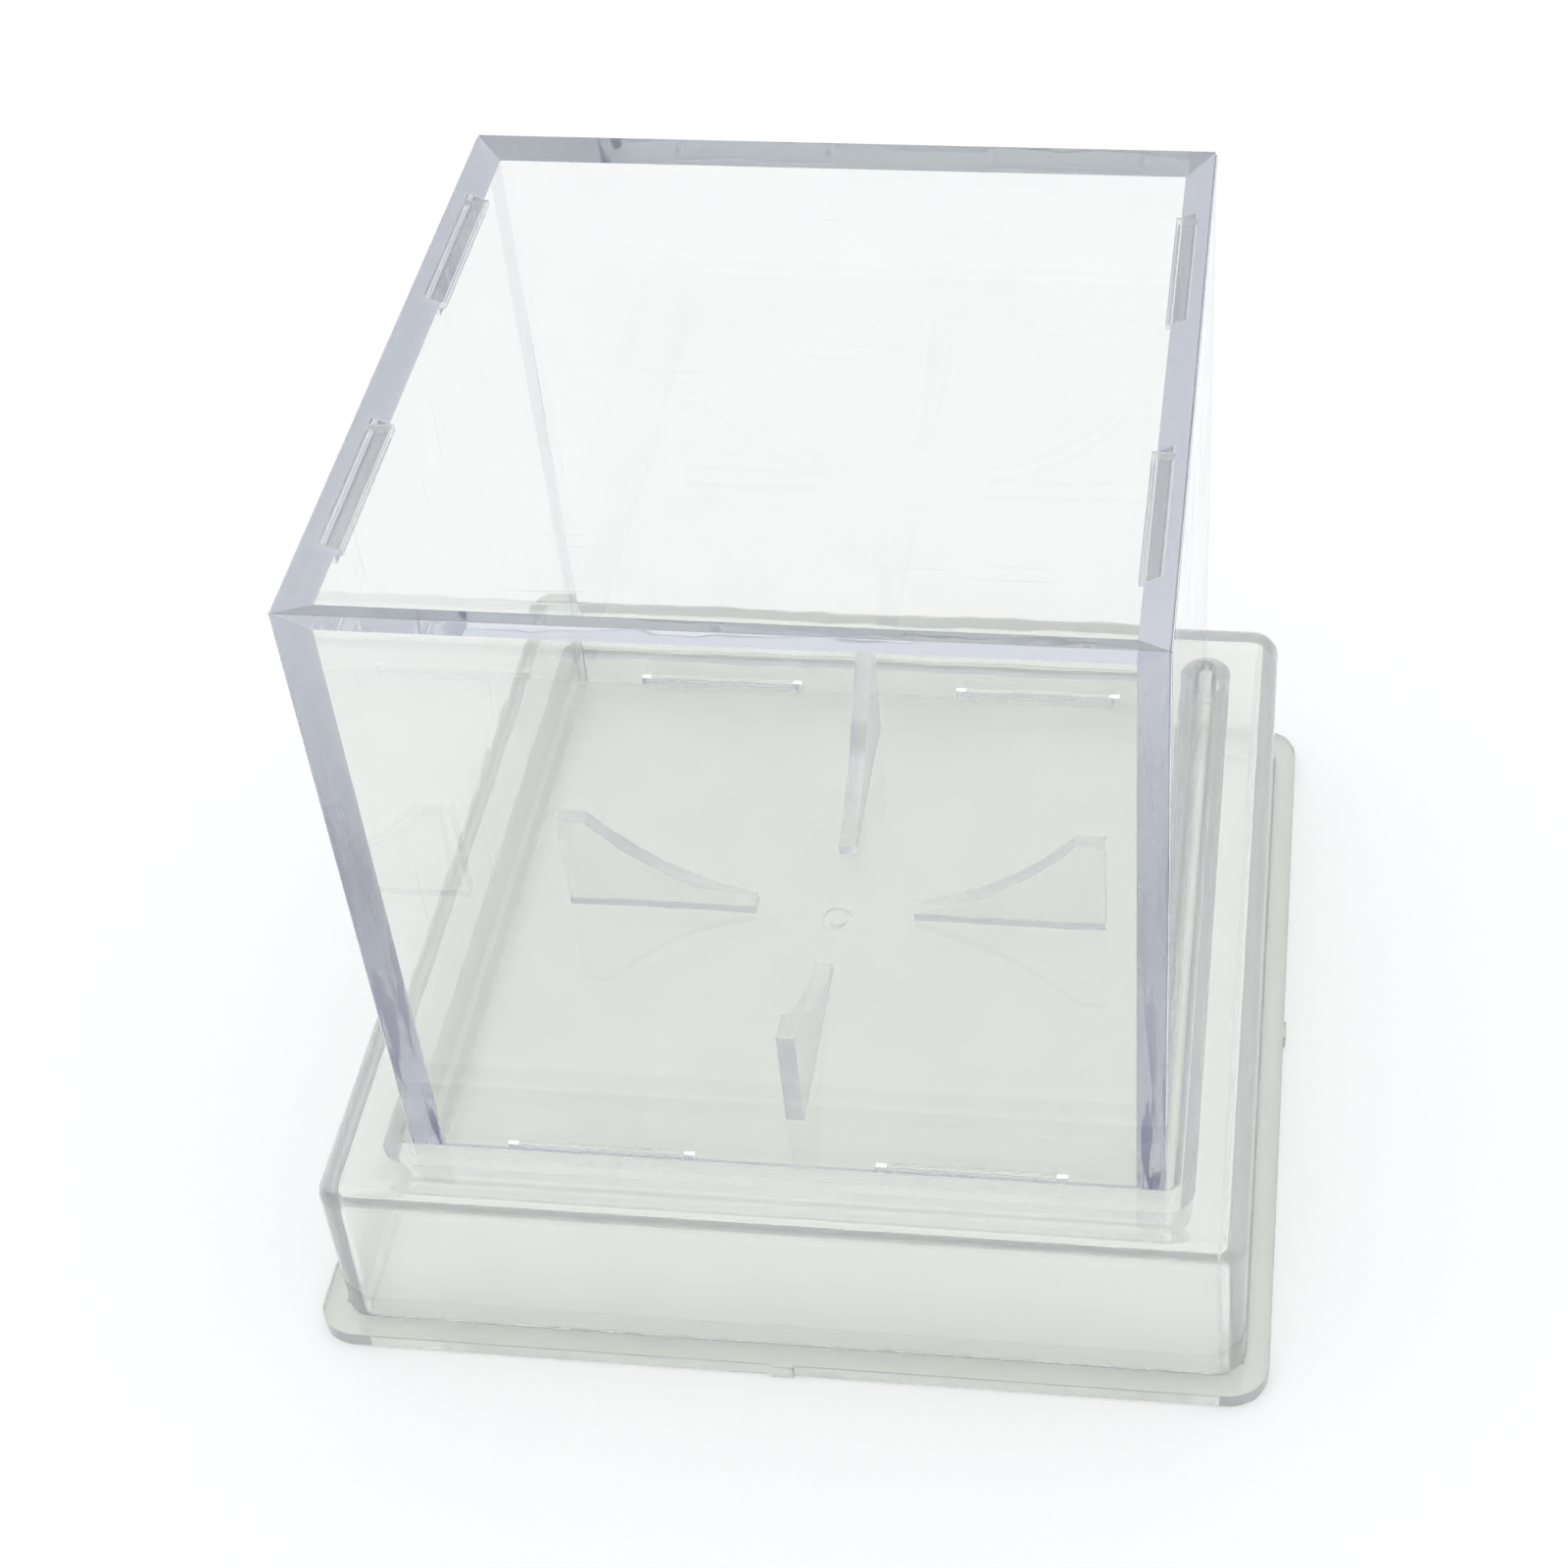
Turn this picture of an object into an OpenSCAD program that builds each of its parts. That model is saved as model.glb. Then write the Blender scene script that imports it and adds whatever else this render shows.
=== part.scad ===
// Display case for one ball: a clear cube in two interlocking halves, standing in the pocket of a
// hollow stepped pedestal. The halves are alike: each is a U of one plate and two walls. The cover
// is turned over and a quarter turn round, so the two U shapes close each other at mitred edges.
// Origin: centre of the pedestal's underside. +Z is up, the front faces -Y.

/* [Ball] */
// Diameter of the ball that the case is made for
ball_d = 73.5; // [60:0.5:100]
// Room between the ball and each wall
side_room = 1.2; // [0.8:0.1:5]
// Room between the ball and the top plate
top_room = 0.5; // [0.3:0.1:5]

/* [Cube halves] */
// Thickness of the walls and plates of the cube
cube_wall = 3.2; // [2.6:0.1:4]
// Gap across each mitred seam between the halves
seam_gap = 0.1; // [0.05:0.01:0.3]
// Width of the flat that blunts the thin tip of each mitre
tip_flat = 0.15; // [0.1:0.05:0.5]

/* [Locating lugs] */
// Length of each lug
lug_len = 19.5; // [8:0.5:24]
// Distance between the middles of the two lugs on one edge
lug_pitch = 40.5; // [28:0.5:44]
// How deep each lug is sunk in the other half's wall
lug_sink = 1.7; // [1:0.1:2]
// How far each lug stands out of that wall's inner side
lug_proud = 0.6; // [0.3:0.05:0.8]
// Height of each lug above its plate
lug_h = 1.1; // [0.8:0.1:3]
// Clearance between a lug and its seat in the wall
lug_gap = 0.15; // [0.1:0.05:0.3]
// Clearance at each end of a lug
lug_end_gap = 0.6; // [0.2:0.1:1.5]
// Radius of the lead-in along each lug's two long edges, and the bevel at its ends
lug_lead = 0.6; // [0.1:0.05:0.6]

/* [Ball fins] */
// Thickness of each fin
fin_t = 2; // [1:0.1:4]
// Height of the fins above the floor
fin_h = 13.5; // [8:0.5:20]
// Distance from the centre line to the inner tip of each fin
fin_tip_r = 9.4; // [4:0.1:14]
// Width of the flat land on top of each fin, outside the ball's arc
fin_land = 3.3; // [1:0.1:5]

/* [Gate mark] */
// Diameter of the sunk ring at the centre of the floor's underside
gate_d = 3.6; // [2:0.1:6]
// Width of the ring's groove
gate_groove = 0.8; // [0.4:0.1:0.9]
// Depth of the ring
gate_depth = 0.4; // [0.1:0.05:0.8]

/* [Plinth] */
// Height of the plinth's top above the table
plinth_h = 23.3; // [14:0.1:40]
// Width of the shelf from the cube to the plinth's edge
plinth_shelf = 8.9; // [6:0.1:20]
// Slope of the plinth's sides from upright, in degrees
plinth_draft = 0.7; // [0.2:0.1:4]
// Radius of the plinth's upright corners
plinth_corner = 3.2; // [3:0.1:8]
// Radius of the plinth's rounded top edge
plinth_fillet = 3; // [1:0.1:3]
// Wall thickness of the pedestal's shell
shell_wall = 2.4; // [1.2:0.1:3]

/* [Flange] */
// How far the flange stands out from the plinth's foot
flange_rim = 2.6; // [1.5:0.1:10]
// Thickness of the flange
flange_t = 2; // [1:0.1:4]
// Radius of the flange's corners
flange_corner = 4.5; // [2:0.1:8]
// Width of the gate nub at the middle of each side of the flange
nub_w = 2.6; // [1:0.1:5]
// How far the gate nubs stand out from the flange
nub_out = 0.3; // [0.1:0.05:1]

/* [Pocket] */
// Depth of the pocket that the cube stands in
pocket_depth = 6.2; // [3:0.1:10]
// Clearance between the cube and the foot of the pocket's wall
pocket_gap = 0.3; // [0.2:0.05:1]
// Slope of the pocket's wall from upright, in degrees
pocket_draft = 5; // [1:0.5:10]
// Radius of the pocket's rounded lip
pocket_lip = 0.8; // [0.3:0.1:1.5]
// Radius of the pocket's upright corners
pocket_corner = 0.5; // [0.2:0.1:2]

/* [Hidden] */
$fn = 64;
clear_tint = [0.86, 0.9, 0.93, 0.35];
milky_tint = [0.88, 0.9, 0.87, 0.6];
// How far a cut runs past the face that it opens
overrun = 1;

// Cube: outer width and height, height of its underside, and half its outer and inner width
cube_w = ball_d + 2 * (side_room + cube_wall);
cube_h = ball_d + top_room + 2 * cube_wall;
cube_z = plinth_h - pocket_depth;
cube_r = cube_w / 2;
room_r = cube_r - cube_wall;
// Each mitre stands back from the seam's middle by half the gap: this is that step along a face
seam_step = seam_gap / sqrt(2);
// Where a mitre's blunt tip ends, measured from the middle
tip_r = cube_r - seam_step - tip_flat;

// Fins: where the ball's arc comes out at the fin's top, and the fin's outer edge
ball_r = ball_d / 2;
fin_arc_r = sqrt(pow(ball_r, 2) - pow(ball_r - fin_h, 2));
fin_outer_r = fin_arc_r + fin_land;

// Pedestal: half widths of the plinth at its top and at its foot, and of the flange
plinth_r = cube_r + plinth_shelf;
foot_r = plinth_r + (plinth_h - flange_t) * tan(plinth_draft);
flange_r = foot_r + flange_rim;
pocket_r = cube_r + pocket_gap;
// The inside of the shell keeps a small radius where the wall is as thick as the corner
cavity_corner = max(plinth_corner - shell_wall, 0.4);
cavity_fillet = min(max(plinth_fillet - shell_wall, 0.2), cavity_corner);
cavity_r = plinth_r - shell_wall;
cavity_h = plinth_h - shell_wall;

// A block with upright corners, swept round a square: the child is half of its section, drawn
// outwards from the square's edge. The square's half width is core_r.
module swept_block(core_r, z_low, z_high) {
    translate([-core_r, -core_r, z_low])
        cube([2 * core_r, 2 * core_r, z_high - z_low]);
    for (turn = [0:90:270])
        rotate([0, 0, turn]) {
            translate([core_r, 0, 0])
                rotate([90, 0, 0])
                    linear_extrude(2 * core_r, center = true)
                        children();
            translate([core_r, core_r, 0])
                rotate_extrude(angle = 90)
                    children();
        }
}

// Half section of a drafted block with a filleted top edge. Its corner radius at the top is
// corner, measured where the sides would meet the top without the fillet.
module block_section(corner, fillet, z_low, z_top, draft) {
    centre = [corner - fillet, z_top - fillet];
    touch = centre + fillet * [cos(draft), sin(draft)];
    low_r = touch.x + (touch.y - z_low) * tan(draft);
    polygon([[0, z_low], [low_r, z_low], touch, centre, [centre.x, z_top], [0, z_top]]);
    translate(centre)
        intersection() {
            circle(fillet);
            square(fillet);
        }
}

// Square plate with round corners
module rounded_plate(half_w, corner, height) {
    flat = half_w - corner;
    linear_extrude(height)
        union() {
            square([2 * half_w, 2 * flat], center = true);
            square([2 * flat, 2 * half_w], center = true);
            for (x = [-flat, flat], y = [-flat, flat])
                translate([x, y])
                    circle(corner);
        }
}

// Half section of the pocket's hollow: drafted walls that flare out over a rounded lip
module pocket_section() {
    floor_z = plinth_h - pocket_depth;
    touch_z = plinth_h - pocket_lip * (1 - sin(pocket_draft));
    touch_r = pocket_corner + (touch_z - floor_z) * tan(pocket_draft);
    lip_centre = [touch_r + pocket_lip * cos(pocket_draft), plinth_h - pocket_lip];
    difference() {
        polygon([
            [0, floor_z],
            [pocket_corner, floor_z],
            [touch_r, touch_z],
            [lip_centre.x, lip_centre.y],
            [lip_centre.x, plinth_h + overrun],
            [0, plinth_h + overrun]
        ]);
        translate(lip_centre)
            circle(pocket_lip);
    }
}

// Half section of the pocket's outside, one shell wall from its hollow all round
module pocket_shell_section() {
    floor_z = plinth_h - pocket_depth;
    skin = shell_wall * [cos(pocket_draft), -sin(pocket_draft)];
    foot = [pocket_corner, floor_z];
    low = foot + skin;
    high_r = low.x + (plinth_h - low.y) * tan(pocket_draft);
    polygon([
        [0, floor_z - shell_wall],
        [foot.x, floor_z - shell_wall],
        foot,
        low,
        [high_r, plinth_h],
        [0, plinth_h]
    ]);
    translate(foot)
        intersection() {
            circle(shell_wall);
            translate([0, -shell_wall])
                square([shell_wall, shell_wall]);
        }
}

module pedestal_hollow() {
    difference() {
        swept_block(cavity_r - cavity_corner, -overrun, cavity_h)
            block_section(cavity_corner, cavity_fillet, -overrun, cavity_h, plinth_draft);
        swept_block(pocket_r - pocket_corner, cube_z - shell_wall, plinth_h)
            pocket_shell_section();
    }
}

// One moulded shell, open underneath: flange, plinth and sunk pocket
module pedestal() {
    color(milky_tint)
        difference() {
            union() {
                swept_block(plinth_r - plinth_corner, 0, plinth_h)
                    block_section(plinth_corner, plinth_fillet, 0, plinth_h, plinth_draft);
                rounded_plate(flange_r, flange_corner, flange_t);
                for (turn = [0:90:270])
                    rotate([0, 0, turn])
                        translate([flange_r - flange_rim, -nub_w / 2, 0])
                            cube([flange_rim + nub_out, nub_w, flange_t]);
            }
            pedestal_hollow();
            swept_block(pocket_r - pocket_corner, cube_z, plinth_h + overrun)
                pocket_section();
        }
}

// A wall of one half: mitred at both upright ends and along its top edge
module mitred_wall() {
    top = cube_h - cube_r + tip_r;
    intersection() {
        linear_extrude(cube_h)
            polygon([
                [-cube_r, -tip_r],
                [tip_flat - cube_r, -tip_r],
                [-room_r, seam_step - room_r],
                [-room_r, room_r - seam_step],
                [tip_flat - cube_r, tip_r],
                [-cube_r, tip_r]
            ]);
        rotate([90, 0, 0])
            linear_extrude(cube_w, center = true)
                polygon([
                    [-cube_r, 0],
                    [-room_r, 0],
                    [-room_r, cube_h - cube_wall - seam_step],
                    [tip_flat - cube_r, top],
                    [-cube_r, top]
                ]);
    }
}

// The plate of one half: mitred along its two open edges
module mitred_plate() {
    rotate([90, 0, 90])
        linear_extrude(cube_w, center = true)
            polygon([
                [-tip_r, 0],
                [tip_r, 0],
                [tip_r, tip_flat],
                [room_r - seam_step, cube_wall],
                [seam_step - room_r, cube_wall],
                [-tip_r, tip_flat]
            ]);
}

// Section of a lug, from its root inside the plate to its rounded free edges
module lug_section() {
    outer = room_r + lug_sink;
    inner = room_r - lug_proud;
    root = tip_r - outer;
    top = cube_wall + lug_h;
    translate([inner, root])
        square([outer - inner, top - lug_lead - root]);
    translate([inner + lug_lead, root])
        square([outer - inner - 2 * lug_lead, top - root]);
    for (y = [inner + lug_lead, outer - lug_lead])
        translate([y, top - lug_lead])
            circle(lug_lead);
}

// A lug stands on the plate's open edge and guides the other half's wall
module lug() {
    top = cube_wall + lug_h;
    intersection() {
        rotate([90, 0, 90])
            linear_extrude(lug_len, center = true)
                lug_section();
        rotate([90, 0, 0])
            linear_extrude(2 * cube_r, center = true)
                polygon([
                    [-lug_len / 2, 0],
                    [lug_len / 2, 0],
                    [lug_len / 2, top - lug_lead],
                    [lug_len / 2 - lug_lead, top],
                    [lug_lead - lug_len / 2, top],
                    [-lug_len / 2, top - lug_lead]
                ]);
    }
}

// The seat cut in a wall's top edge for a lug of the other half
module lug_seat() {
    outer = room_r + lug_sink + lug_gap;
    low = cube_h - cube_wall - lug_h - lug_gap;
    length = lug_len + 2 * lug_end_gap;
    translate([-outer, -length / 2, low])
        cube([outer - room_r + overrun, length, cube_h - low + overrun]);
}

// One half of the cube as the cradle stands: plate below, walls left and right, lugs front and back
module half_shell() {
    mitred_plate();
    for (side = [0, 1])
        mirror([side, 0, 0])
            difference() {
                mitred_wall();
                for (end = [-1, 1])
                    translate([0, end * lug_pitch / 2, 0])
                        lug_seat();
            }
    for (edge = [0, 1], end = [-1, 1])
        mirror([0, edge, 0])
            translate([end * lug_pitch / 2, 0, 0])
                lug();
}

// An upright fin whose inner edge follows the ball
module ball_fin() {
    rotate([90, 0, 0])
        linear_extrude(fin_t, center = true)
            difference() {
                translate([fin_tip_r, -cube_wall / 2])
                    square([fin_outer_r - fin_tip_r, fin_h + cube_wall / 2]);
                translate([0, ball_r])
                    circle(ball_r);
            }
}

// Ring sunk in the underside, with the trimmed stub of the gate at its centre
module gate_mark() {
    difference() {
        translate([0, 0, -overrun])
            cylinder(h = gate_depth + overrun, d = gate_d);
        translate([0, 0, -overrun])
            cylinder(h = gate_depth + 2 * overrun, d = gate_d - 2 * gate_groove);
    }
}

// Lower half: floor, left and right walls, and the fins that carry the ball
module cradle_half() {
    color(clear_tint)
        translate([0, 0, cube_z])
            difference() {
                union() {
                    half_shell();
                    for (turn = [0:90:270])
                        rotate([0, 0, turn])
                            translate([0, 0, cube_wall])
                                ball_fin();
                }
                gate_mark();
            }
}

// Upper half: top plate, front and back walls, lifted straight up to open the case
module cover_half() {
    color(clear_tint)
        translate([0, 0, cube_z + cube_h])
            rotate([180, 0, 90])
                half_shell();
}

pedestal();
cradle_half();
cover_half();
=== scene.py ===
import math

import bpy
from mathutils import Matrix, Vector


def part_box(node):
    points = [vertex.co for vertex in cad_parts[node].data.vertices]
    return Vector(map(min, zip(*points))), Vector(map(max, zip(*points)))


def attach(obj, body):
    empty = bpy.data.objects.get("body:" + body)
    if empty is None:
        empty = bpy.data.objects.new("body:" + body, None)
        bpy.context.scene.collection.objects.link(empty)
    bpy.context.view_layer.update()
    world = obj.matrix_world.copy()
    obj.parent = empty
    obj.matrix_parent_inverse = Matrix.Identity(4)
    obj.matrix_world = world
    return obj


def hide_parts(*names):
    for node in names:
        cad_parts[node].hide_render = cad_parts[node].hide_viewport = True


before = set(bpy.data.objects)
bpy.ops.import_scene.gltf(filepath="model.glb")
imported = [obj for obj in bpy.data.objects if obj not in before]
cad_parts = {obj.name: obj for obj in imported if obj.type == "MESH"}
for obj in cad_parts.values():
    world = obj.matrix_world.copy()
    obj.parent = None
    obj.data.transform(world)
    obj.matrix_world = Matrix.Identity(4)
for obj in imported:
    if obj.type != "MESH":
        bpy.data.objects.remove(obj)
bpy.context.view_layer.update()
scene = bpy.context.scene
MM = 0.001


# Pedestal: the hollow stepped foot, with the pocket that the cube stands in.
# Injection moulded in one piece from clear styrene with a little milkiness, open underneath.
# The core side of its walls is left matt, so they blur what is behind them.
FLANGE_EDGE = 52 * MM
FLANGE_EASE = 0.18 * MM
FOOT_CORNER_REACH = (49.5 * MM, 51 * MM)
FOOT_CORNER_HEIGHT = (1.5 * MM, 2.5 * MM)
FOOT_FILLET = 0.4 * MM
POCKET_WALL_REACH = (43 * MM, 46 * MM)
PLINTH_WALL_REACH = (47.2 * MM, 48.4 * MM)
POCKET_FLOOR_BELOW, POCKET_FLOOR_REACH = 18 * MM, 20 * MM
UNDERSIDES_ABOVE = 5 * MM
CORE_MATT, POCKET_FLOOR_MATT = 0.15, 0.2


def moulding(name, node):
    """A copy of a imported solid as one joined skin, with each flat face in one piece."""
    bpy.ops.object.select_all(action="DESELECT")
    piece = bpy.data.objects.new(name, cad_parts[node].data.copy())
    scene.collection.objects.link(piece)
    bpy.context.view_layer.objects.active = piece
    piece.select_set(True)
    bpy.ops.mesh.customdata_custom_splitnormals_clear()
    bpy.ops.object.mode_set(mode="EDIT")
    bpy.ops.mesh.select_all(action="SELECT")
    bpy.ops.mesh.remove_doubles(threshold=0.001 * MM)
    bpy.ops.mesh.dissolve_limited(angle_limit=math.radians(0.5))
    bpy.ops.object.mode_set(mode="OBJECT")
    return piece


def select_edges(piece, wanted):
    """Selects the sharp edges whose two ends pass the test, and nothing else."""
    bpy.ops.object.mode_set(mode="EDIT")
    bpy.ops.mesh.select_mode(type="EDGE")
    bpy.ops.mesh.select_all(action="DESELECT")
    bpy.ops.mesh.edges_select_sharp(sharpness=math.radians(30))
    bpy.ops.object.mode_set(mode="OBJECT")
    mesh = piece.data
    kept = []
    for edge in mesh.edges:
        ends = [mesh.vertices[i].co for i in edge.vertices]
        kept.append(edge.select and wanted(*ends))
    for part in (mesh.vertices, mesh.edges, mesh.polygons):
        part.foreach_set("select", [False] * len(part))
    mesh.edges.foreach_set("select", kept)
    bpy.ops.object.mode_set(mode="EDIT")


def ease_edges(piece, radius, wanted):
    """Rounds the chosen sharp edges as a mould does."""
    select_edges(piece, wanted)
    bpy.ops.mesh.bevel(offset=radius, segments=2, profile=0.5, affect="EDGES", clamp_overlap=False)
    bpy.ops.object.mode_set(mode="OBJECT")


def smooth(piece):
    """Shades the rounded faces smooth, and keeps the flat ones true so that they don't act as lenses."""
    bpy.ops.object.select_all(action="DESELECT")
    piece.select_set(True)
    bpy.context.view_layer.objects.active = piece
    bpy.ops.object.shade_smooth_by_angle(angle=math.radians(20))
    flats = piece.modifiers.new("true_flats", "WEIGHTED_NORMAL")
    flats.weight = 100
    flats.keep_sharp = True
    bpy.ops.object.modifier_apply(modifier=flats.name)


def between(value, ends):
    """True for a value inside two ends."""
    return ends[0] < value < ends[1]


def reach(point):
    """How far a point stands out from the middle line, measured square to the walls."""
    return max(abs(point.x), abs(point.y))


def matt_faces(piece, amount):
    """Keeps for each face how matt the mould left it, 0 being polished."""
    layer = piece.data.attributes.new("matt", "FLOAT", "FACE")
    layer.data.foreach_set("value", [amount(face.center, face.normal) for face in piece.data.polygons])


def styrene(name, colours, clarity, absorbs, wave_height, painted_shade_heights=None, painted_streak_colour=None):
    """Clear moulded styrene: faint flow waves, hairline scratches and a tint that grows with depth.

    The two colours lie in clouds, or follow the height where a low and high end are given, as painted
    shade that darkens towards the foot.
    Where a streak colour is given, faces marked for it have upright streaks of that colour, painted
    shade in place of dark reflections in the mitres, and let less light through there.
    """
    material = bpy.data.materials.new(name)
    material.use_nodes = True
    nodes, links = material.node_tree.nodes, material.node_tree.links
    shader = nodes["Principled BSDF"]
    shader.inputs["IOR"].default_value = 1.55
    shader.inputs["Transmission Weight"].default_value = clarity
    place = nodes.new("ShaderNodeTexCoord")

    def noise(vector, scale, detail):
        """Soft random spots that lie on the given coordinates."""
        spots = nodes.new("ShaderNodeTexNoise")
        spots.inputs["Scale"].default_value = scale
        spots.inputs["Detail"].default_value = detail
        links.new(vector, spots.inputs["Vector"])
        return spots.outputs["Fac"]

    def stretched(scale, rotation=(0, 0, 0)):
        """The piece's coordinates, drawn out so that spots become streaks."""
        mapping = nodes.new("ShaderNodeMapping")
        mapping.inputs["Rotation"].default_value = rotation
        mapping.inputs["Scale"].default_value = scale
        links.new(place.outputs["Object"], mapping.inputs["Vector"])
        return mapping.outputs["Vector"]

    def spread(value, came, goes):
        """A value from one range, laid over another."""
        ranges = nodes.new("ShaderNodeMapRange")
        for label, number in zip(("From Min", "From Max", "To Min", "To Max"), (*came, *goes)):
            ranges.inputs[label].default_value = number
        links.new(value, ranges.inputs["Value"])
        return ranges.outputs["Result"]

    def sums(operation, *values):
        """Arithmetic on values, each a number or a node's output."""
        math_node = nodes.new("ShaderNodeMath")
        math_node.operation = operation
        for socket, value in zip(math_node.inputs, values):
            if isinstance(value, bpy.types.NodeSocket):
                links.new(value, socket)
            else:
                socket.default_value = value
        return math_node.outputs["Value"]

    def mark(label):
        """A value kept on the piece's faces."""
        attribute = nodes.new("ShaderNodeAttribute")
        attribute.attribute_name = label
        return attribute.outputs["Fac"]

    flow = noise(place.outputs["Object"], scale=85, detail=2)
    tone = flow
    # Painted shade: the colour darkens towards the foot between the given heights.
    if painted_shade_heights:
        axes = nodes.new("ShaderNodeSeparateXYZ")
        links.new(place.outputs["Object"], axes.inputs["Vector"])
        height = spread(axes.outputs["Z"], painted_shade_heights, (0.2, 0.55))
        tone = sums("MULTIPLY_ADD", flow, 0.25, height)
    clouds_and_shade = nodes.new("ShaderNodeValToRGB")
    for stop, position, colour in zip(clouds_and_shade.color_ramp.elements, (0.35, 0.65), colours):
        stop.position = position
        stop.color = (*colour, 1)
    links.new(tone, clouds_and_shade.inputs["Fac"])
    colour = clouds_and_shade.outputs["Color"]
    # Painted shade: dark upright streaks on the marked faces, which also let less light through, stand
    # in for dark reflections in the mitres.
    if painted_streak_colour:
        streak_noise = noise(stretched((700, 700, 60)), scale=1, detail=2)
        painted_streak_mask = sums("MULTIPLY", mark("painted_streaks"), spread(streak_noise, (0.52, 0.57), (0, 1)))
        painted_streaks = nodes.new("ShaderNodeMix")
        painted_streaks.data_type = "RGBA"
        painted_streaks.inputs["B"].default_value = (*painted_streak_colour, 1)
        links.new(painted_streak_mask, painted_streaks.inputs["Factor"])
        links.new(colour, painted_streaks.inputs["A"])
        colour = painted_streaks.outputs["Result"]
        links.new(spread(painted_streak_mask, (0, 1), (clarity, 0.1)), shader.inputs["Transmission Weight"])
    links.new(colour, shader.inputs["Base Color"])

    wave = nodes.new("ShaderNodeBump")
    wave.inputs["Strength"].default_value = 1
    wave.inputs["Distance"].default_value = wave_height
    links.new(flow, wave.inputs["Height"])
    links.new(wave.outputs["Normal"], shader.inputs["Normal"])

    hairline = noise(stretched((40, 1600, 40), rotation=(0.3, 0.5, 0.7)), scale=1, detail=1)
    scratched = spread(hairline, (0.72, 0.78), (0.012, 0.22))
    links.new(sums("MAXIMUM", mark("matt"), scratched), shader.inputs["Roughness"])

    depth = nodes.new("ShaderNodeVolumeAbsorption")
    depth.inputs["Color"].default_value = (*absorbs[0], 1)
    depth.inputs["Density"].default_value = absorbs[1]
    links.new(depth.outputs["Volume"], nodes["Material Output"].inputs["Volume"])
    return material


def on_flange_edge(a, b):
    """True for an edge on the outside of the flange."""
    return min(reach(a), reach(b)) > FLANGE_EDGE


def in_foot_corner(a, b):
    """True for an edge in the corner where the plinth's sides meet the flange."""
    return all(between(reach(p), FOOT_CORNER_REACH) and between(p.z, FOOT_CORNER_HEIGHT) for p in (a, b))


def core_side(centre, normal):
    """Matt on what the mould's core made, the inside of the shell, and on the pocket's floor."""
    if normal.z < -0.5 and centre.z > UNDERSIDES_ABOVE:
        return CORE_MATT
    if normal.z > 0.9 and centre.z < POCKET_FLOOR_BELOW and reach(centre) < POCKET_FLOOR_REACH:
        return POCKET_FLOOR_MATT
    walls = (POCKET_WALL_REACH, PLINTH_WALL_REACH)
    if abs(normal.z) < 0.5 and any(between(reach(centre), wall) for wall in walls):
        return CORE_MATT
    return 0.0


pedestal = moulding("pedestal_shell", "pedestal")
ease_edges(pedestal, FLANGE_EASE, on_flange_edge)
ease_edges(pedestal, FOOT_FILLET, in_foot_corner)
smooth(pedestal)
matt_faces(pedestal, core_side)
pedestal.data.materials.clear()
pedestal.data.materials.append(styrene(
    "milky_styrene",
    # Painted shade: the grey colour sits at the foot and the cream one from 15 mm up, so the shell
    # darkens towards its foot.
    colours=((0.895, 0.912, 0.875), (0.99, 0.997, 0.962)),
    clarity=0.8,
    absorbs=((0.32, 0.40, 0.70), 6),
    wave_height=0.03 * MM,
    painted_shade_heights=(1 * MM, 15 * MM),
))
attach(pedestal, "pedestal")
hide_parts("pedestal")


# Cradle half: floor and side walls of the cube, with four fins that carry the ball.
# One moulding in clear styrene. It stands loose in the pocket, and its lugs guide the cover's walls.
# The lugs bear on their seats, so no film of air shows there. Its mitres are matt, and carry painted
# shade: dark streaks, heavier low down, in place of their dark reflections.
CUBE_FOOT, CUBE_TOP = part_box("cradle_half")[0].z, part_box("cover_half")[1].z
CUBE_REACH, ROOM_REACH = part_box("cradle_half")[1].x, 37 * MM
CUBE_EASE, SKIN = 0.1 * MM, 0.2 * MM
OPTICAL_GAP = 0.03 * MM
LUG_TOP, LUG_LIFT = 4.3 * MM, 0.165 * MM
LUG_REACH, LUG_DEPTH = (37 * MM, 40 * MM), (3.3 * MM, 4.4 * MM)
SEAT_REACH, SEAT_DEPTH = (39.7 * MM, 39.9 * MM), (4.4 * MM, 4.5 * MM)
SEAT_FILLET = 0.65 * MM
FIN_REACH, FIN_HEIGHT = 37.9 * MM, (3.3 * MM, 20 * MM)
GATE_MARK_REACH = 30 * MM
SLANT = (0.6, 0.8)
MITRE_MATT, UNDERSIDE_MATT, FIN_MATT, LUG_MATT = 0.3, 0.3, 0.25, 0.2
# Painted shade: the dark streaks on the mitres fade out up to this height above the foot.
PAINTED_STREAK_HEIGHT = 55 * MM


def on_cube_skin(a, b):
    """True for an edge on the outside of the cube, but not for the gate marks in mid face."""
    return all(
        reach(p) > CUBE_REACH - SKIN
        or abs(p.z - CUBE_FOOT) < SKIN
        or abs(p.z - CUBE_TOP) < SKIN
        for p in (a, b)
    ) and max(reach(a), reach(b)) > GATE_MARK_REACH


def tool_marked(centre, normal):
    """Matt on the mitred faces, the fins, the lugs and the cube's underside, as the tool left them."""
    if sum(between(abs(part), SLANT) for part in normal) == 2 and reach(centre) > ROOM_REACH:
        return MITRE_MATT
    if centre.z < CUBE_FOOT + 0.1 * MM:
        return UNDERSIDE_MATT
    if reach(centre) < FIN_REACH and between(centre.z - CUBE_FOOT, FIN_HEIGHT):
        return FIN_MATT
    if between(reach(centre), LUG_REACH) and between(CUBE_TOP - centre.z, LUG_DEPTH):
        return LUG_MATT
    return 0.0


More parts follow.
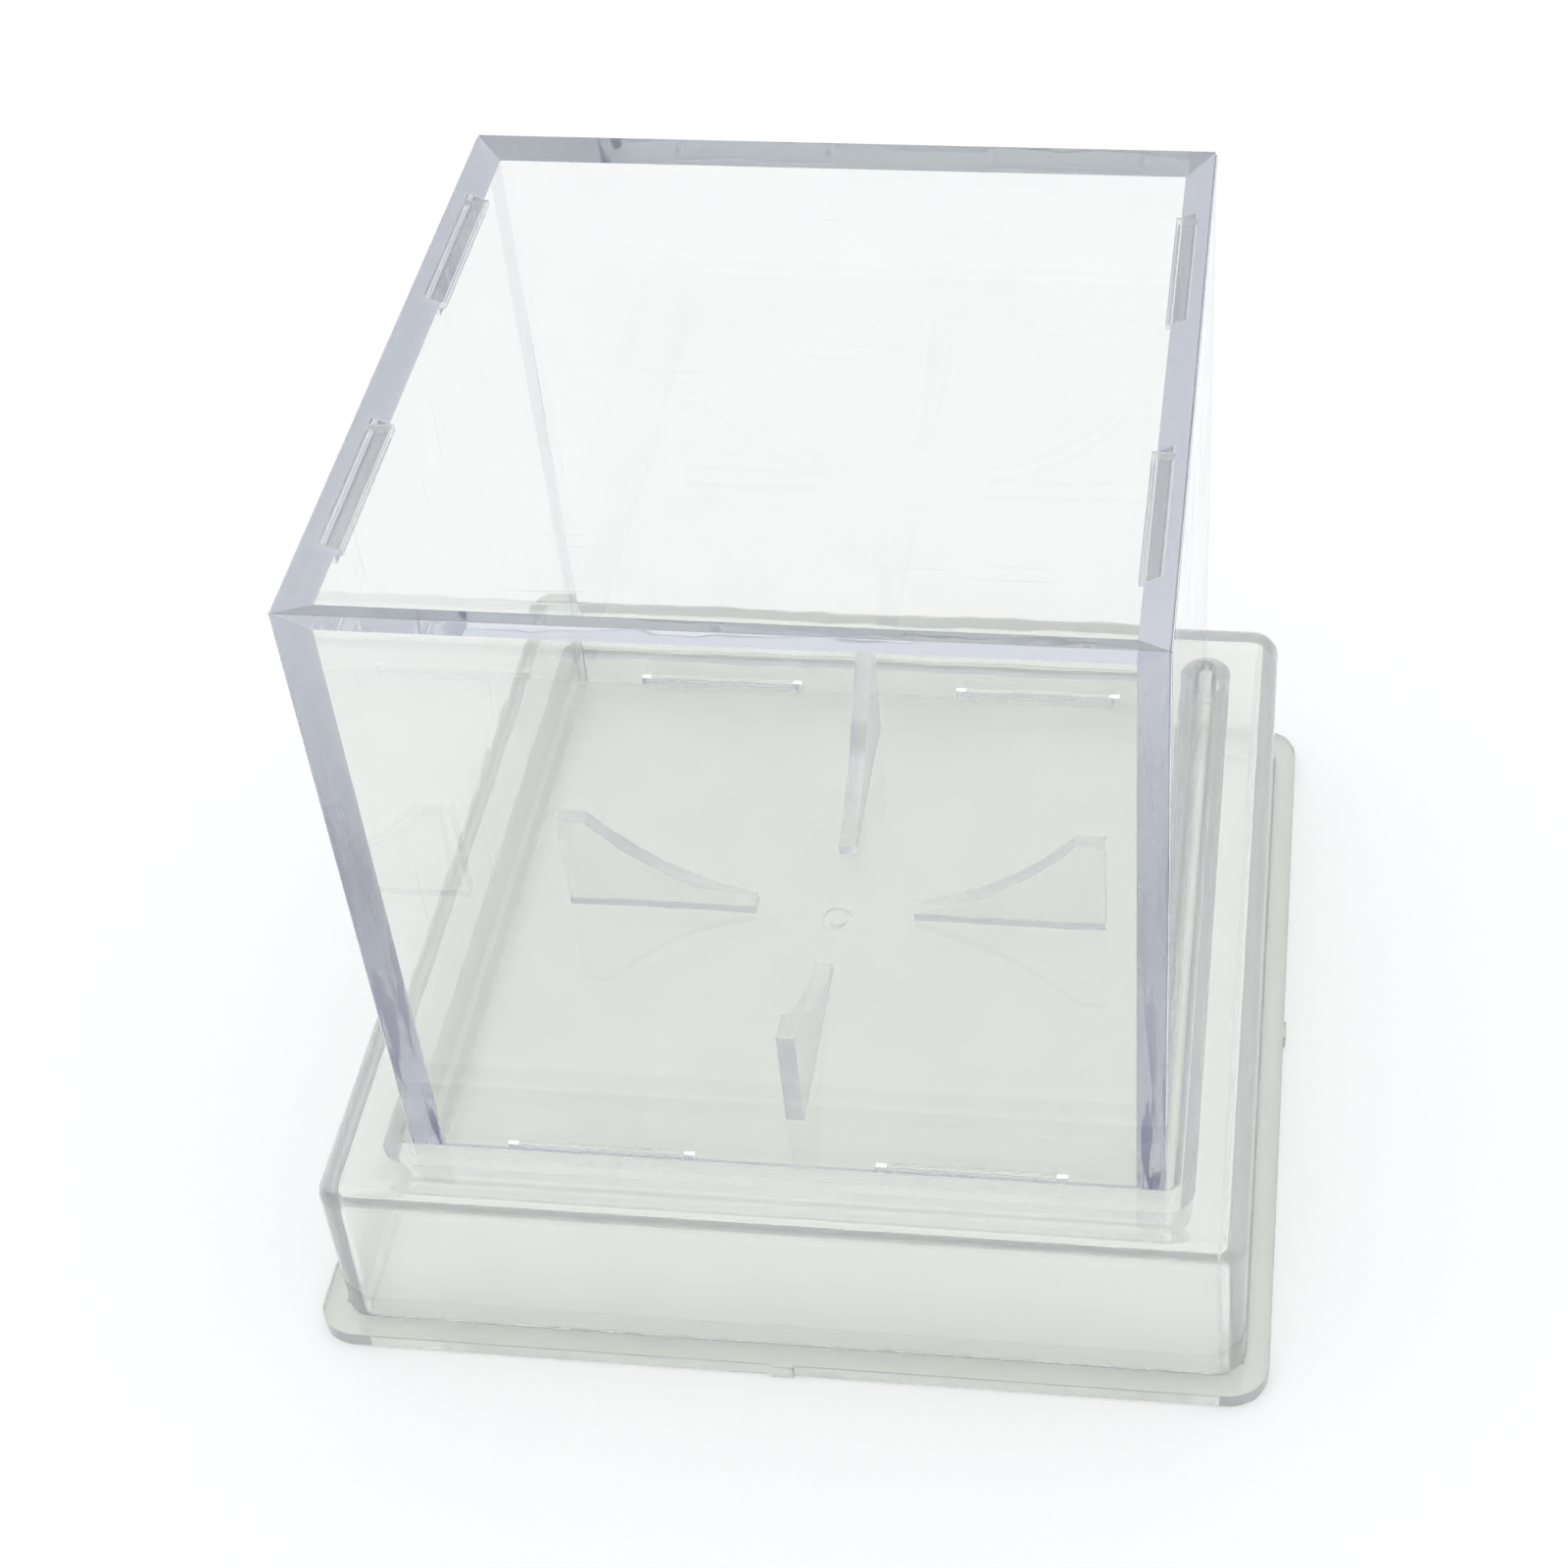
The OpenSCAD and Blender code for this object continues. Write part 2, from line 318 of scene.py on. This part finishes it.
def mark_painted_streaks(piece):
    """Keeps for each corner of a face how strong the painted shade streaks are: the upright mitres, more
    towards the foot.
    """
    values = []
    for face in piece.data.polygons:
        slanted = abs(face.normal.z) < 0.1 and between(abs(face.normal.x), SLANT)
        mitre = slanted and reach(face.center) > ROOM_REACH
        for index in face.vertices:
            height = piece.data.vertices[index].co.z - CUBE_FOOT
            values.append(max(0.0, 1 - height / PAINTED_STREAK_HEIGHT) if mitre else 0.0)
    layer = piece.data.attributes.new("painted_streaks", "FLOAT", "CORNER")
    layer.data.foreach_set("value", values)


def in_upper_seat(a, b):
    """True for an edge in the inner corner of a seat in the cradle's walls."""
    return all(between(abs(p.x), SEAT_REACH) and between(CUBE_TOP - p.z, SEAT_DEPTH) for p in (a, b))


cradle = moulding("cradle_half_moulding", "cradle_half")
ease_edges(cradle, CUBE_EASE, on_cube_skin)
ease_edges(cradle, SEAT_FILLET, in_upper_seat)
for vertex in cradle.data.vertices:
    if vertex.co.z < CUBE_FOOT + 0.001 * MM:
        vertex.co.z += OPTICAL_GAP
    if abs(vertex.co.z - CUBE_FOOT - LUG_TOP) < 0.02 * MM and abs(vertex.co.y) > ROOM_REACH:
        vertex.co.z += LUG_LIFT
smooth(cradle)
matt_faces(cradle, tool_marked)
mark_painted_streaks(cradle)
cube_styrene = styrene(
    "clear_styrene",
    colours=((0.96, 0.963, 0.952), (0.973, 0.976, 0.965)),
    clarity=1,
    absorbs=((0.42, 0.47, 0.60), 7),
    wave_height=0.02 * MM,
    # Painted shade: dark lavender streaks on the mitres in place of their dark reflections.
    painted_streak_colour=(0.22, 0.22, 0.36),
)
cradle.data.materials.clear()
cradle.data.materials.append(cube_styrene)
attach(cradle, "cradle_half")
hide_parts("cradle_half")


# Cover half: top plate, front and back walls, lifted straight off to put a ball in.
# The same kind of moulding as the cradle, turned over and a quarter turn round, held by its fit.


def in_lower_seat(a, b):
    """True for an edge in the inner corner of a seat in the cover's walls."""
    return all(between(abs(p.y), SEAT_REACH) and between(p.z - CUBE_FOOT, SEAT_DEPTH) for p in (a, b))


cover = moulding("cover_half_moulding", "cover_half")
ease_edges(cover, CUBE_EASE, on_cube_skin)
ease_edges(cover, SEAT_FILLET, in_lower_seat)
for vertex in cover.data.vertices:
    if abs(CUBE_TOP - vertex.co.z - LUG_TOP) < 0.02 * MM and abs(vertex.co.x) > ROOM_REACH:
        vertex.co.z -= LUG_LIFT
smooth(cover)
matt_faces(cover, tool_marked)
mark_painted_streaks(cover)
cover.data.materials.clear()
cover.data.materials.append(cube_styrene)
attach(cover, "cover_half")
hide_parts("cover_half")


# Studio: a pale floor under an even soft sky, dimmer and bluer towards the horizon.
# The dim band is what draws the edges of clear plastic.
FLOOR_SIZE = 40
SKY_COLOURS = ((0, (0.53, 0.545, 0.65, 1)), (0.75, (1.2, 1.2, 1.2, 1)))
bpy.ops.object.select_all(action="DESELECT")
bpy.ops.mesh.primitive_plane_add(size=FLOOR_SIZE, location=(0, 0, -0.05 * MM))
floor = bpy.context.object
floor.name = "floor"
bpy.ops.object.transform_apply(location=True)
floor_paint = bpy.data.materials.new("floor_paint")
floor_paint.use_nodes = True
floor_shader = floor_paint.node_tree.nodes["Principled BSDF"]
floor_shader.inputs["Base Color"].default_value = (0.94, 0.94, 0.94, 1)
floor_shader.inputs["Roughness"].default_value = 0.8
floor.data.materials.append(floor_paint)

sky = bpy.data.worlds.new("soft_sky")
scene.world = sky
sky.use_nodes = True
sky_nodes, sky_links = sky.node_tree.nodes, sky.node_tree.links
direction = sky_nodes.new("ShaderNodeTexCoord")
split = sky_nodes.new("ShaderNodeSeparateXYZ")
fade = sky_nodes.new("ShaderNodeValToRGB")
fade.color_ramp.interpolation = "EASE"
for stop, (height, colour) in zip(fade.color_ramp.elements, SKY_COLOURS):
    stop.position = height
    stop.color = colour
sky_links.new(direction.outputs["Generated"], split.inputs["Vector"])
sky_links.new(split.outputs["Z"], fade.inputs["Fac"])
sky_links.new(fade.outputs["Color"], sky_nodes["Background"].inputs["Color"])


# Camera: above the front, a little to the right, with the photograph's framing.
# Light goes back and forth many times inside clear walls, so it is followed far.
CAMERA_PLACE = Vector((0.05087, -0.23112, 0.26378))
TURN, TILT, ROLL = (math.radians(v) for v in (8.85, 43.686, -3.398))
camera = bpy.data.objects.new("camera", bpy.data.cameras.new("camera"))
scene.collection.objects.link(camera)
back = Vector((math.sin(TURN) * math.cos(TILT), -math.cos(TURN) * math.cos(TILT), math.sin(TILT)))
right = Vector((math.cos(TURN), math.sin(TURN), 0))
up = back.cross(right)
aim = Matrix((
    right * math.cos(ROLL) + up * math.sin(ROLL),
    up * math.cos(ROLL) - right * math.sin(ROLL),
    back,
)).transposed().to_4x4()
aim.translation = CAMERA_PLACE
camera.matrix_world = aim
camera.data.lens = 65.91
camera.data.shift_x = -0.11
camera.data.clip_start = 0.01
scene.camera = camera
scene.view_settings.view_transform = "Standard"
scene.cycles.max_bounces = 192
scene.cycles.diffuse_bounces = 12
scene.cycles.glossy_bounces = 160
scene.cycles.transmission_bounces = 160
scene.cycles.blur_glossy = 0
